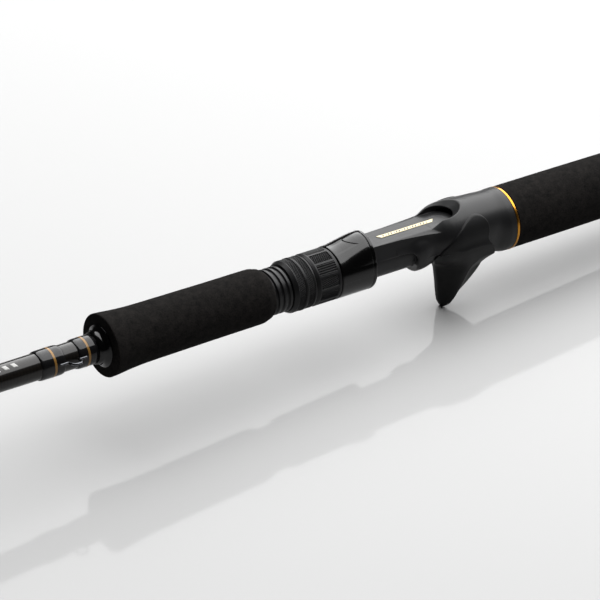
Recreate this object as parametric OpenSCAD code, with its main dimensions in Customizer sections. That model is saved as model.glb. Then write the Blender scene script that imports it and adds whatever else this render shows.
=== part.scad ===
// Casting rod in two sections, with a trigger reel seat, foam grips and eight line guides.
// The rod lies along +X from the flat end of its butt cap, and the reel and guides are on +Z.

/* [Rod] */
// Length of the assembled rod
rod_length = 1980; // [1500:10:2400]
// Diameter of the blank where it enters the butt cap
blank_butt_d = 14.8; // [13:0.1:17.8]
// Diameter of the butt section at its forward, plug-in end
blank_joint_d = 8.7; // [7:0.1:10.5]
// Diameter of the blank at the very tip
blank_tip_d = 2.2; // [1.8:0.1:3]
// Wall of the carbon tube
blank_wall = 0.9; // [0.6:0.1:1.2]
// Length of the plug-in joint between the sections
ferrule_overlap = 60; // [40:5:80]

/* [Grips] */
// Length of the rubber butt cap
butt_cap_length = 20; // [15:1:30]
// Length of the foam grip behind the reel seat
rear_grip_length = 300; // [150:5:360]
// Diameter of the rear grip where it meets the reel seat
rear_grip_d = 28; // [26:0.5:33.6]
// Swell of the rear grip's diameter at the butt
butt_swell = 3; // [0:0.5:5]
// Length of the foam grip ahead of the reel seat
fore_grip_length = 82.3; // [60:1:110]
// Diameter of the fore grip at its reel seat end
fore_grip_d = 24; // [22:0.5:29]
// Added diameter of the fore grip at its flared front rim
fore_grip_flare = 3.6; // [0:0.2:6]

/* [Reel seat] */
// Width of the flat that the reel foot stands on
deck_width = 11.4; // [9.5:0.1:13]
// Height of that flat above the wall under it
deck_rise = 1.6; // [1:0.1:2.4]
// Wall of the seat round the blank at its slim waist
waist_wall = 1.7; // [1.4:0.1:2.4]
// From the gold ring to the lip of the fixed pocket
pocket_lip = 27; // [24:0.5:32]
// How far the fixed pocket reaches back under its lip
pocket_depth = 8; // [5:0.5:10]
// Wall over the fixed pocket
pocket_wall = 1; // [0.8:0.1:1.4]
// From the pocket's lip to the mouth of the sliding hood
reel_gap = 45.8; // [38:0.5:60]
// How far the trigger reaches below the rod's axis
trigger_drop = 35; // [29:0.5:42]
// Thickness of the trigger at its tip
trigger_tip_width = 6; // [5:0.5:8]

/* [Hood and nuts] */
// Length of the sliding hood
hood_length = 18.2; // [15:0.2:22]
// Wall of the sliding hood
hood_wall = 1.35; // [1.1:0.05:1.8]
// How far the hood's tunnel rises above its barrel at the mouth
hood_rise = 4; // [2.5:0.1:4.5]
// Length of the clamp nut
nut_length = 12.6; // [10:0.2:16]
// Wall of both nuts over the thread crests
nut_wall = 1.4; // [1.1:0.05:1.8]
// Length of the locking ring in front of the clamp nut
lock_ring_length = 11.2; // [8:0.2:14]
// Thread left bare ahead of the locking ring
free_thread = 8.8; // [6:0.2:14]
// Pitch of the seat's thread
thread_pitch = 2.8; // [2:0.1:3.4]
// Depth of the seat's thread
thread_depth = 0.85; // [0.5:0.05:1.1]
// Wall of the threaded barrel under its thread
barrel_wall = 1.95; // [1.5:0.05:2.5]
// Wall of the bush between the threaded barrel and the blank
front_arbor_wall = 0.95; // [0.6:0.05:1.4]
// Wall of the bush between the seat's rear end and the blank
rear_arbor_wall = 2.5; // [1.8:0.1:2.8]

/* [Trim] */
// Width of the gold ring behind the reel seat
gold_ring_width = 1.2; // [0.8:0.1:2]
// Length of the tapered winding check ahead of the fore grip
check_length = 4.8; // [3:0.2:8]
// Length of the thread wrap next to the fore grip
rear_wrap_length = 9.5; // [7:0.5:16]
// Bare blank under the hook keeper, between the two wraps
keeper_gap = 6.5; // [5:0.5:9]
// Length of the thread wrap ahead of the hook keeper
front_wrap_length = 11.8; // [8:0.2:20]
// Thickness of thread and varnish on the blank
wrap_build = 0.6; // [0.4:0.05:0.8]
// Width of the gold bands in the wraps
gold_band_width = 1.4; // [1:0.2:3]
// Wire of the hook keeper
keeper_wire = 1.1; // [0.8:0.1:1.4]
// How far the hook keeper stands off the blank
keeper_height = 4.9; // [4:0.1:6]

/* [Guides] */
// Thickness of the guides' stamped frames
frame_gauge = 0.9; // [0.7:0.05:1.2]
// Width of the guides' ceramic rings along the rod
ring_width = 2; // [1.5:0.1:2.6]
// Length of each guide foot under its thread
foot_length = 12; // [9:0.5:16]

/* [Hidden] */
$fn = 48;
GLUE = 0.05;      // film between parts that are bonded
RUN = 0.1;        // radial clearance of the nuts on the thread crests
HOOD_RUN = 0.3;   // radial clearance of the hood on the thread crests
END_GAP = 0.3;    // gap between the faces of hood, nut and locking ring
SLOT_GAP = 0.02;  // clearance of small parts let into larger ones
FOOT_GAP = 0.3;   // room on each side of the deck for the reel foot
DECK_START = 20;  // from the pocket's lip to where the deck stands on the slim waist
THREAD_LEAD = 6;  // length of thread under the hood when it is fully forward
WRAP_END = 1.6;   // length of the varnish's run-out at each end of a wrap
WRAP_EDGE = 0.25; // thickness of the varnish at the edge of a wrap
BAND_PROUD = 0.1; // how far a gold band stands above its wrap

// Stations of the handle, measured from the butt.
seat_x = butt_cap_length + rear_grip_length + gold_ring_width;
lip_x = seat_x + pocket_lip;
hood_x = lip_x + reel_gap;
nut_x = hood_x + hood_length + END_GAP;
lock_x = nut_x + nut_length + END_GAP;
thread_end_x = lock_x + lock_ring_length + free_thread;
thread_start_x = hood_x + hood_length - THREAD_LEAD;
grip_front_x = thread_end_x + fore_grip_length;
check_end_x = grip_front_x + check_length;
keeper_x = check_end_x + rear_wrap_length + keeper_gap / 2;
front_wrap_x = keeper_x + keeper_gap / 2;
rear_band_x = check_end_x + rear_wrap_length / 2;
front_band_x = front_wrap_x + front_wrap_length * 0.45;
handle_end_x = front_wrap_x + front_wrap_length;

// Guides from the stripper to the tip: share of the free blank, outer ring diameter, height of
// the ring's centre above the blank, and the number of feet.
GUIDES = [
    [0.085, 16, 13.5, 2], [0.258, 12, 10.5, 2], [0.419, 10, 8.6, 2], [0.549, 8, 6.8, 1],
    [0.660, 7, 6.1, 1], [0.759, 7, 6.0, 1], [0.848, 6, 5.3, 1], [0.928, 6, 5.2, 1]
];
RING_BORE = 0.66;  // inner over outer diameter of a guide ring
TIP_RING_D = 6;
TIP_TUBE_LENGTH = 12;
function guide_x(i) = handle_end_x + (rod_length - handle_end_x) * GUIDES[i][0];
joint_mid_x = (guide_x(1) + guide_x(2)) / 2;
joint_x0 = joint_mid_x - ferrule_overlap / 2;
joint_x1 = joint_mid_x + ferrule_overlap / 2;

// Radius of the blank at x. The tip section slides over the butt section at the joint.
function mix(a, b, t) = a + (b - a) * t;
function butt_r(x) = mix(blank_butt_d, blank_joint_d, (x - butt_cap_length / 2) /
    (joint_x1 - butt_cap_length / 2)) / 2;
function tip_r(x) = mix(butt_r(joint_x0) + GLUE + blank_wall, blank_tip_d / 2,
    (x - joint_x0) / (rod_length - joint_x0));
function blank_r(x) = x < joint_x0 ? butt_r(x) : tip_r(x);

// Radii of the reel seat, worked out from the blank inside it.
barrel_bore_r = butt_r(thread_start_x) + GLUE + front_arbor_wall + GLUE;
thread_r = barrel_bore_r + barrel_wall + thread_depth;
nut_r = thread_r + RUN + nut_wall;
hood_r = thread_r + HOOD_RUN + hood_wall;
waist_r = butt_r(hood_x - reel_gap) + GLUE + waist_wall;
deck_z = waist_r + deck_rise;
collar_r = rear_grip_d / 2;
arbor_bore_r = butt_r(seat_x) + GLUE + rear_arbor_wall + GLUE;
arbor_depth = pocket_lip - pocket_depth - 2;
crest_r = collar_r + 1.3;
// The centre of the seat's upper body lies this far above the rod's axis, which keeps the lower
// side of the upper body inside the lower one.
EGG = (crest_r - waist_r) / 2 - 0.15;

// A solid of revolution about the rod's axis, from [x, r] points.
module turned(points) {
    rotate([0, 90, 0]) rotate_extrude() polygon([for (p = points) [p[1], p[0]]]);
}

// A tube from x0 to x1 with outer radii r0 and r1, bored to fit the blank.
module sleeve(x0, x1, r0, r1, gap = GLUE) {
    turned([[x0, butt_r(x0) + gap], [x0, r0], [x1, r1], [x1, butt_r(x1) + gap]]);
}

// A prism across the rod from [x, z] points.
module across(points, width) {
    rotate([90, 0, 0]) linear_extrude(width, center = true) polygon(points);
}

module tube_x(x0, x1, r) {
    translate([x0, 0, 0]) rotate([0, 90, 0]) cylinder(h = x1 - x0, r = r);
}

// ---- Handle ----

module butt_cap() {
    end_r = collar_r + butt_swell / 2;
    wall = 2;
    color("#141414") turned([
        [0, 0], [0, end_r - 4], [0.8, end_r - 2], [2.2, end_r - 0.6], [4.5, end_r],
        [butt_cap_length - 0.5, end_r], [butt_cap_length, end_r - 0.5],
        [butt_cap_length, blank_butt_d / 2 + wall],
        [butt_cap_length / 2 - 2, blank_butt_d / 2 + wall], [butt_cap_length / 2 - 2, 0]
    ]);
}

// Outline of the rear grip: parallel by the seat, a slight waist, then the swell of the butt.
function rear_grip_r(t) = collar_r - 0.7 * sin(min(1, max(0, (t - 0.2) / 0.5)) * 180)
    + butt_swell / 2 * pow(max(0, (t - 0.55) / 0.45), 2) * (3 - 2 * max(0, (t - 0.55) / 0.45));

module rear_grip() {
    x0 = butt_cap_length + GLUE;
    x1 = seat_x - gold_ring_width - GLUE;
    steps = 16;
    color("#1c1b1b") turned(concat(
        [[x0, butt_r(x0) + GLUE]],
        [for (i = [steps:-1:0]) [mix(x1, x0, i / steps), rear_grip_r(i / steps)]],
        [[x1, butt_r(x1) + GLUE]]
    ));
}

module rear_gold_ring() {
    color("#c8923c") sleeve(seat_x - gold_ring_width, seat_x - GLUE, collar_r + 0.1, collar_r + 0.1);
}

// Body of the seat, from two turned forms. One is on the rod's axis and gives the collar and the
// swelling ahead of the trigger. The other lies a little higher and gives the back of the seat.
function low_form(grow) = [for (p = [
    [0, collar_r], [3, collar_r - 0.1], [6, collar_r - 0.9], [9, collar_r - 2],
    [13, collar_r - 3.2], [18, waist_r + 2], [pocket_lip + 7, waist_r + 1.5],
    [pocket_lip + 13, waist_r + 1.1], [pocket_lip + 16, waist_r + 1.8],
    [pocket_lip + 19, waist_r + 2.4], [pocket_lip + 22.5, waist_r + 2.3],
    [pocket_lip + 25, waist_r + 1.5], [pocket_lip + 26.5, waist_r]
]) [seat_x + p[0], p[1] + grow]];

function high_form(grow) = [for (p = [
    [0, collar_r - 0.5], [6, collar_r + 0.3], [12, collar_r + 0.8], [18, collar_r + 1.1],
    [pocket_lip - 2, crest_r], [pocket_lip + 3, crest_r], [pocket_lip + 5, crest_r - 0.4],
    [pocket_lip + 9, crest_r - 1.7], [pocket_lip + 13, crest_r - 3],
    [pocket_lip + 17, deck_z + 2], [pocket_lip + 21, deck_z + 1.2],
    [pocket_lip + 30, deck_z - 2]
]) [seat_x + p[0], p[1] + grow - EGG]];

// A solid of revolution from [x, r] points, closed onto its axis at both ends.
module spun(points) {
    turned(concat([[points[0][0], 0]], points, [[points[len(points) - 1][0], 0]]));
}

module seat_form(grow) {
    spun(low_form(grow));
    translate([0, 0, EGG]) spun(high_form(grow));
}

// Thread of rounded ridges. They are rings, so that the nuts' turning stays a joint of its own.
function thread_form(x0, x1) = concat(
    [[x0, waist_r]],
    [for (i = [0:floor((x1 - x0) / thread_pitch) - 1], p = [[0, 0], [0.25, 1], [0.7, 1], [0.95, 0]])
        [x0 + (i + p[0]) * thread_pitch, thread_r + (p[1] - 1) * thread_depth]],
    [[x1, thread_r - thread_depth]]
);

// The deck over the slim part that the hood slides on.
module deck(x0, x1) {
    half = deck_width / 2;
    translate([x0, 0, 0]) rotate([90, 0, 90]) linear_extrude(x1 - x0)
        polygon([[-half, deck_z], [1 - waist_r, 1], [1 - waist_r, 0], [waist_r - 1, 0],
            [waist_r - 1, 1], [half, deck_z]]);
}

// Room for the reel foot: everything over the deck, and the pocket under the lip.
module foot_room() {
    half = deck_width / 2 + FOOT_GAP;
    length = 40;
    top = crest_r + 10;
    translate([0, 0, deck_z]) {
        linear_extrude(top) {
            u_ended(lip_x, lip_x + length, half);
            translate([lip_x + DECK_START, -2 * collar_r]) square([length, 4 * collar_r]);
        }
    }
    intersection() {
        translate([0, 0, deck_z]) linear_extrude(top)
            u_ended(lip_x - pocket_depth, lip_x + 3, half - 0.1);
        translate([0, 0, EGG]) tube_x(seat_x, lip_x + 10, crest_r - EGG - pocket_wall);
    }
}

// A strip from x0 to x1 that ends in a U of short flats at x0.
module u_ended(x0, x1, half) {
    polygon(concat([[x1, -half], [x1, half]],
        [for (a = [90:30:270]) [x0 + half + half * cos(a), half * sin(a)]]));
}

// Thumb scallops on both flanks, where the slim waist runs back into the body.
module scallops() {
    for (side = [-1, 1]) translate([lip_x + 27.6, side * (waist_r + 6.2), -2.5])
        turned([[-6, 0], [-5.6, 2.2], [-4.2, 4.3], [-2.2, 5.6], [0, 6], [12, 6.2], [12, 0]]);
}

module inlay_slot(gap = 0) {
    length = 30;
    width = 2;
    slant = 1.6;
    translate([lip_x + 8.4, 0, deck_z - 0.5]) linear_extrude(0.5 + gap)
        polygon([[-gap, -width / 2 - gap], [length + gap, -width / 2 - gap],
            [length - slant + gap, width / 2 + gap], [slant - gap, width / 2 + gap]]);
}

module seat_body() {
    color("#2e2f31") difference() {
        union() {
            spun(concat(low_form(0), thread_form(thread_start_x, thread_end_x - GLUE)));
            translate([0, 0, EGG]) spun(high_form(0));
            deck(lip_x + DECK_START, thread_start_x + 0.2);
        }
        foot_room();
        scallops();
        inlay_slot(SLOT_GAP);
        tube_x(seat_x - 1, seat_x + arbor_depth, arbor_bore_r);
        turned([
            [seat_x, 0], [seat_x, butt_r(seat_x) + GLUE],
            [thread_end_x + 1, butt_r(thread_end_x + 1) + GLUE], [thread_end_x + 1, 0]
        ]);
        tube_x(thread_start_x + 2, thread_end_x + 1, barrel_bore_r);
    }
}

// The blade of the trigger: upright in front, raked behind, slimmer towards its tip.
module trigger_blade() {
    tip_r = 3.2;
    tip_z = -trigger_drop + tip_r;
    intersection() {
        union() {
            across([[35.5, -4], [34.4, -11], [33.3, -18], [31.6, tip_z], [28.3, tip_z - 1],
                [25.4, tip_z - 1], [21.5, tip_z + 2.6], [15, tip_z + 9], [9.5, -15.5], [6.6, -10],
                [6, -4]], 40);
            translate([28.3, 0, tip_z]) rotate([90, 0, 0])
                cylinder(h = 40, r = tip_r, center = true);
        }
        rotate([90, 0, 90]) linear_extrude(60)
            polygon([[-8.2, 0], [-8.2, -8], [-6, -13], [-trigger_tip_width / 2, tip_z],
                [-trigger_tip_width / 2 + 1.6, -trigger_drop - 1],
                [trigger_tip_width / 2 - 1.6, -trigger_drop - 1],
                [trigger_tip_width / 2, tip_z], [6, -13], [8.2, -8], [8.2, 0]]);
    }
}

// The trigger is moulded over the seat: its blade runs up both flanks as a leaf-shaped shell.
module trigger() {
    leaf = [[40.5, -5], [37, 1], [33.5, 5.5], [29, 9], [24, 10.8], [19.5, 10.8], [16, 8.5],
        [14.4, 4.5], [14, 0], [13, -5], [8, -9], [7, -20], [38, -20]];
    color("#1d1d1e") difference() {
        union() {
            translate([seat_x, 0, 0]) trigger_blade();
            intersection() {
                translate([seat_x, 0, 0]) across(leaf, 60);
                seat_form(0.6);
            }
        }
        seat_form(SLOT_GAP);
    }
}

module deck_inlay() {
    color("#d8cfa8") inlay_slot();
}

module rear_arbor() {
    color("#5b5f57") sleeve(seat_x + GLUE, seat_x + arbor_depth - GLUE, arbor_bore_r - GLUE,
        arbor_bore_r - GLUE);
}

module front_arbor() {
    x0 = thread_start_x + 2 + GLUE;
    color("#5b5f57") sleeve(x0, thread_end_x - 2 * GLUE, barrel_bore_r - GLUE, barrel_bore_r - GLUE);
}

// Sliding hood: a barrel that clears the thread, with a rising tunnel for the reel foot.
module hood_tunnel(inset, half, x0, x1) {
    intersection() {
        turned([[x0, 0], [x0, hood_r + hood_rise - inset], [x1, hood_r + 0.4 - inset], [x1, 0]]);
        translate([x0 - 1, -half, 0]) cube([x1 - x0 + 2, 2 * half, 4 * hood_r]);
    }
}

module hood() {
    x1 = hood_x + hood_length;
    half = deck_width / 2 + 0.4;
    color("#101010") difference() {
        union() {
            turned([
                [hood_x, 0], [hood_x, hood_r - 0.5], [hood_x + 0.6, hood_r - 0.1],
                [hood_x + 1.4, hood_r], [x1 - 0.5, hood_r], [x1, hood_r - 0.4], [x1, 0]
            ]);
            hood_tunnel(0, half + 0.9, hood_x, x1 - 2);
        }
        tube_x(hood_x - 1, x1 + 1, thread_r + HOOD_RUN);
        hood_tunnel(1.1, half, hood_x - 1, hood_x + 11);
        translate([hood_x - 1, -half, 0]) cube([hood_length + 2, 2 * half, deck_z + HOOD_RUN]);
    }
}

// Axial finger grooves in the clamp nut, in blocks with plain lands between them.
module nut_grooves(x0, x1, r) {
    blocks = 12;
    per_block = 4;
    for (b = [0:blocks - 1], g = [0:per_block - 1])
        rotate([(b + (g - 1.5) / 6) * 360 / blocks, 0, 0])
            translate([x0, -0.3, r - 0.35]) cube([x1 - x0, 0.6, 1]);
}

module clamp_nut() {
    x1 = nut_x + nut_length;
    color("#2a2a2b") difference() {
        turned([
            [nut_x, thread_r + RUN], [nut_x, nut_r - 0.3], [nut_x + 0.4, nut_r],
            [x1 - 1.6, nut_r], [x1, nut_r - 0.5], [x1, thread_r + RUN]
        ]);
        nut_grooves(nut_x + 1.2, x1 - 2, nut_r);
    }
}

module lock_ring() {
    x1 = lock_x + lock_ring_length;
    middle = (lock_x + x1) / 2 - 0.6;
    color("#242424") turned([
        [lock_x, thread_r + RUN], [lock_x, nut_r - 0.5], [lock_x + 0.5, nut_r - 0.1],
        [middle - 0.6, nut_r - 0.1], [middle - 0.3, nut_r - 0.45], [middle + 0.3, nut_r - 0.45],
        [middle + 0.6, nut_r - 0.1], [x1 - 1.6, nut_r - 0.1], [x1, nut_r - 1.1],
        [x1, thread_r + RUN]
    ]);
}

// Outline of the fore grip from its seat end (t = 0) to its flared front rim (t = 1).
function fore_grip_r(t) = fore_grip_d / 2 + 0.4 * t
    + (fore_grip_flare / 2 - 0.4) * pow(max(0, (t - 0.76) / 0.24), 1.5);

module fore_grip() {
    x0 = thread_end_x + GLUE;
    chamfer = 4;
    front = fore_grip_r(1);
    steps = 16;
    color("#1c1b1b") turned(concat(
        [[x0, butt_r(x0) + GLUE], [x0, thread_r], [x0 + chamfer - 1, fore_grip_d / 2 - 0.25]],
        [for (i = [0:steps]) [mix(x0 + chamfer, grip_front_x - 1.2, i / steps),
            fore_grip_r(i / steps)]],
        [[grip_front_x - 0.3, front - 0.5], [grip_front_x, front - 1.3],
            [grip_front_x, butt_r(grip_front_x) + GLUE]]
    ));
}

// Glossy winding check: a funnel that hides the end of the grip's bore.
module fore_check() {
    x0 = grip_front_x + GLUE;
    x1 = check_end_x - GLUE;
    r1 = butt_r(x1) + wrap_build;
    color("#0c0c0c") turned([
        [x0, butt_r(x0) + GLUE], [x0, r1 + 3], [x0 + 0.5, r1 + 3.1],
        [x0 + 1.4, r1 + 1.9], [x0 + 2.8, r1 + 0.8], [x1, r1], [x1, butt_r(x1) + GLUE]
    ]);
}

// A varnished thread wrap from x0 to x1, over a blank of radii r0 and r1.
module wrap_form(x0, x1, r0, r1) {
    turned([
        [x0, r0 + GLUE], [x0, r0 + WRAP_EDGE], [x0 + WRAP_END, r0 + wrap_build],
        [x1 - WRAP_END, r1 + wrap_build], [x1, r1 + WRAP_EDGE], [x1, r1 + GLUE]
    ]);
}

// A gold band let into a wrap at x, over a blank of radius r.
module band_form(x, r, gap = 0) {
    half = gold_band_width / 2 + gap;
    inner = wrap_build / 2 - gap;
    outer = wrap_build + BAND_PROUD + gap;
    turned([[x - half, r + inner], [x - half, r + outer], [x + half, r + outer],
        [x + half, r + inner]]);
}

module rear_trim_wrap() {
    x0 = check_end_x + GLUE;
    x1 = keeper_x - keeper_gap / 2;
    color("#0b0b0c") difference() {
        wrap_form(x0, x1, butt_r(x0), butt_r(x1));
        band_form(rear_band_x, butt_r(rear_band_x), SLOT_GAP);
        hook_keeper_form(SLOT_GAP);
    }
}

module rear_trim_band() {
    color("#c8923c") band_form(rear_band_x, butt_r(rear_band_x));
}

module front_trim_wrap() {
    color("#0b0b0c") difference() {
        wrap_form(front_wrap_x, handle_end_x, butt_r(front_wrap_x), butt_r(handle_end_x));
        band_form(front_band_x, butt_r(front_band_x), SLOT_GAP);
        hook_keeper_form(SLOT_GAP);
    }
}

module front_trim_band() {
    color("#c8923c") band_form(front_band_x, butt_r(front_band_x));
}

// Hook keeper: one bent wire, with its feet flat on the blank under the two wraps.
module hook_keeper_form(gap = 0) {
    r = keeper_wire / 2;
    base = butt_r(keeper_x - keeper_gap / 2 - 3) + GLUE + r;
    arch = keeper_gap / 2 - 0.6;
    leg = keeper_height - r - arch;
    foot = 3.6;
    rotate([-78, 0, 0]) translate([keeper_x, 0, base]) {
        translate([0, 0, leg]) rotate([90, 0, 0]) rotate_extrude(angle = 180)
            translate([arch, 0]) circle(r = r + gap, $fn = 24);
        for (side = [-1, 1]) {
            translate([side * arch, 0, 0]) cylinder(h = leg + 0.01, r = r + gap, $fn = 24);
            translate([side * (arch + foot / 2), 0, 0]) rotate([0, 90, 0])
                cylinder(h = foot + 2 * r, r = r + gap + 0.02, center = true, $fn = 24);
        }
    }
}

module hook_keeper() {
    color("#1a1a1b") hook_keeper_form();
}

// ---- Blank ----

module butt_blank() {
    x0 = butt_cap_length / 2;
    color("#15130f") turned([
        [x0, butt_r(x0) - blank_wall], [x0, butt_r(x0)], [joint_x1, butt_r(joint_x1)],
        [joint_x1, butt_r(joint_x1) - blank_wall]
    ]);
}

module tip_blank() {
    socket_end = joint_x1 + 5;
    tube_end = rod_length - TIP_TUBE_LENGTH;
    color("#15130f") turned([
        [joint_x0, butt_r(joint_x0) + GLUE], [joint_x0, tip_r(joint_x0)],
        [rod_length - 1, tip_r(rod_length - 1)], [rod_length - 1, 0], [tube_end - 20, 0],
        [socket_end, tip_r(socket_end) - blank_wall], [socket_end, butt_r(joint_x1) + GLUE]
    ]);
}

ferrule_band_x = joint_x0 + 6;

module ferrule_wrap() {
    x0 = joint_x0 + 1;
    x1 = joint_x0 + ferrule_overlap * 0.75;
    color("#0b0b0c") difference() {
        wrap_form(x0, x1, tip_r(x0), tip_r(x1));
        band_form(ferrule_band_x, tip_r(ferrule_band_x), SLOT_GAP);
    }
}

module ferrule_band() {
    color("#c8923c") band_form(ferrule_band_x, tip_r(ferrule_band_x));
}

// ---- Guides ----

function ring_z(i) = blank_r(guide_x(i)) + GUIDES[i][2];
function foot_r(i) = blank_r(guide_x(i) - 3 - foot_length) + GLUE;

// Ceramic ring: a true bore with both mouths eased.
module ring_at(x, z, d) {
    inner = d * RING_BORE / 2;
    half = ring_width / 2;
    ease = 0.35;
    translate([x, 0, z]) turned([
        [-half, inner + ease], [-half + ease, inner], [half - ease, inner], [half, inner + ease],
        [half, d / 2 - ease], [half - ease, d / 2], [-half + ease, d / 2], [-half, d / 2 - ease]
    ]);
}

// Stamped hoop that holds the ring.
module hoop_at(x, z, d) {
    inner = d / 2 + SLOT_GAP;
    half = ring_width * 0.35;
    translate([x, 0, z]) turned([
        [-half, inner], [half, inner], [half, inner + frame_gauge], [-half, inner + frame_gauge]
    ]);
}

// A foot: a thin tapered tongue that lies along the top of the blank.
module foot(i, dir, gap = 0) {
    x = guide_x(i);
    r = foot_r(i);
    w = min(3.4, 2 * r * 0.8);
    rise = 0.75 + gap;
    near = 3;
    far = near + foot_length;
    points = dir > 0
        ? [[x + near - 1, r - gap], [x + far + gap, r - gap], [x + far + gap, r + 0.25],
            [x + near - 1, r + rise]]
        : [[x - near + 1, r - gap], [x - near + 1, r + rise], [x - far - gap, r + 0.25],
            [x - far - gap, r - gap]];
    across(points, w + 2 * gap);
}

// A leg: a sloping strip from the hoop's flank down to the foot.
module leg(i, dir) {
    x = guide_x(i);
    r = foot_r(i);
    z = ring_z(i);
    top = z - GUIDES[i][1] * 0.15;
    reach = 3;
    half_w = GUIDES[i][1] / 2 + SLOT_GAP;
    points = [[x + dir * 0.3, top], [x - dir * 0.5, top - 1], [x + dir * (reach - 1), r],
        [x + dir * (reach + 1), r], [x + dir * (reach + 1), r + 0.75]];
    intersection() {
        across(points, 2 * (half_w + frame_gauge));
        difference() {
            union() {
                translate([x - 20, 0, z]) rotate([0, 90, 0])
                    cylinder(h = 40, r = half_w + frame_gauge);
                translate([x - 20, -1.7, r]) cube([40, 3.4, z - r]);
            }
            translate([x - 21, 0, z]) rotate([0, 90, 0]) cylinder(h = 42, r = half_w);
        }
    }
}

module guide_frame(i) {
    feet = GUIDES[i][3] == 2 ? [-1, 1] : [-1];
    color("#3a3b3d") difference() {
        union() {
            hoop_at(guide_x(i), ring_z(i), GUIDES[i][1]);
            for (dir = feet) {
                leg(i, dir);
                foot(i, dir);
            }
        }
        turned([
            [guide_x(i) - 30, 0], [guide_x(i) - 30, blank_r(guide_x(i) - 30) + SLOT_GAP],
            [guide_x(i) + 30, blank_r(guide_x(i) + 30) + SLOT_GAP], [guide_x(i) + 30, 0]
        ]);
    }
}

module guide_ring(i) {
    color("#6d7076") ring_at(guide_x(i), ring_z(i), GUIDES[i][1]);
}

module guide_wraps(i) {
    feet = GUIDES[i][3] == 2 ? [-1, 1] : [-1];
    color("#0b0b0c") for (dir = feet) difference() {
        x0 = guide_x(i) + (dir > 0 ? 4.5 : -4.5 - foot_length);
        x1 = x0 + foot_length;
        r0 = blank_r(x0);
        r1 = blank_r(x1);
        turned([
            [x0, r0 + SLOT_GAP], [x0, r0 + 0.25], [x0 + 1.2, foot_r(i) + 1.05],
            [x1 - 1.2, foot_r(i) + 1.05], [x1, r1 + 0.25], [x1, r1 + SLOT_GAP]
        ]);
        foot(i, dir, SLOT_GAP);
        leg(i, dir);
    }
}

// ---- Tip top ----

TIP_RING_Z = TIP_RING_D / 2 + 2.4;

module tip_top_frame() {
    x1 = rod_length;
    x0 = x1 - TIP_TUBE_LENGTH;
    tube_r = tip_r(x0) + 0.5;
    color("#3a3b3d") union() {
        difference() {
            tube_x(x0, x1, tube_r);
            turned([[x0 - 1, 0], [x0 - 1, tip_r(x0) + SLOT_GAP], [x1 - 0.9, tip_r(x0) + SLOT_GAP],
                [x1 - 0.9, 0]]);
        }
        hoop_at(x1 - 1, TIP_RING_Z, TIP_RING_D);
        difference() {
            across([[x0 + 5, tube_r - 0.3], [x1 - 0.4, tube_r - 0.3], [x1 - 0.4, TIP_RING_Z],
                [x1 - 1.6, TIP_RING_Z]], 1.2);
            translate([x1 - 20, 0, TIP_RING_Z]) rotate([0, 90, 0])
                cylinder(h = 22, r = TIP_RING_D / 2 + SLOT_GAP);
        }
    }
}

module tip_top_ring() {
    color("#6d7076") ring_at(rod_length - 1, TIP_RING_Z, TIP_RING_D);
}

butt_cap();
rear_grip();
rear_gold_ring();
seat_body();
trigger();
deck_inlay();
rear_arbor();
front_arbor();
hood();
clamp_nut();
lock_ring();
fore_grip();
fore_check();
rear_trim_wrap();
rear_trim_band();
front_trim_wrap();
front_trim_band();
hook_keeper();
butt_blank();
tip_blank();
ferrule_wrap();
ferrule_band();
for (i = [0:len(GUIDES) - 1]) {
    guide_frame(i);
    guide_ring(i);
    guide_wraps(i);
}
tip_top_frame();
tip_top_ring();
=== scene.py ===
# %% [markdown]
# # Casting rod: a handle in foam, moulded plastic and varnished carbon
# The rod lies along X from its butt cap, and the reel and guides belong on its +Z side.
# Everything here is measured in millimetres from the butt and scaled to metres only when a
# mesh is made. Stations of the handle count from the gold ring behind the reel seat.

import math

import bmesh
import bpy
import numpy as np
import openvdb
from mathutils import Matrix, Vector


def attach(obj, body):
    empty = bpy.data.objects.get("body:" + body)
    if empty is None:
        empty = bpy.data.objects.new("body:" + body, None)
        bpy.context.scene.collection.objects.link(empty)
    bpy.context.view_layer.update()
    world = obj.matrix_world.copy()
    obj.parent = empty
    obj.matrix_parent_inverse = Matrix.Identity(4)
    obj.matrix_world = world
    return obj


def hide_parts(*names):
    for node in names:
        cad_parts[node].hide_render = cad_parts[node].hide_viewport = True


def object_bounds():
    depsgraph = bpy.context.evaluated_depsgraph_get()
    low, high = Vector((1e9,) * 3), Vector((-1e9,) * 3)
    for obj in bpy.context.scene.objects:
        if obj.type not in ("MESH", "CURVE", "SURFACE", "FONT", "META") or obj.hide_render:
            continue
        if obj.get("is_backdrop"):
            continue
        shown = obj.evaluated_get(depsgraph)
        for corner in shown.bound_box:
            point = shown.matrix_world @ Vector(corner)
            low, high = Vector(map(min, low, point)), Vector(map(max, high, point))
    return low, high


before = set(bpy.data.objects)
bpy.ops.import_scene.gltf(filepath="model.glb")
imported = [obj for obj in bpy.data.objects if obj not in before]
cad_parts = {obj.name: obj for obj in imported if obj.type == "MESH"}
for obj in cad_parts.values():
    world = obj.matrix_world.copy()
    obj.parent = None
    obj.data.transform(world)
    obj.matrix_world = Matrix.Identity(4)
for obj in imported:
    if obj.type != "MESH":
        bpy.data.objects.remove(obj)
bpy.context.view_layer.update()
MM = 0.001

# %% [markdown]
# ## Where the pieces sit
# The handle's pieces follow one another along the blank, so each station is worked out from the
# one behind it. The guides are placed by their share of the way from the handle to the tip.

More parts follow.
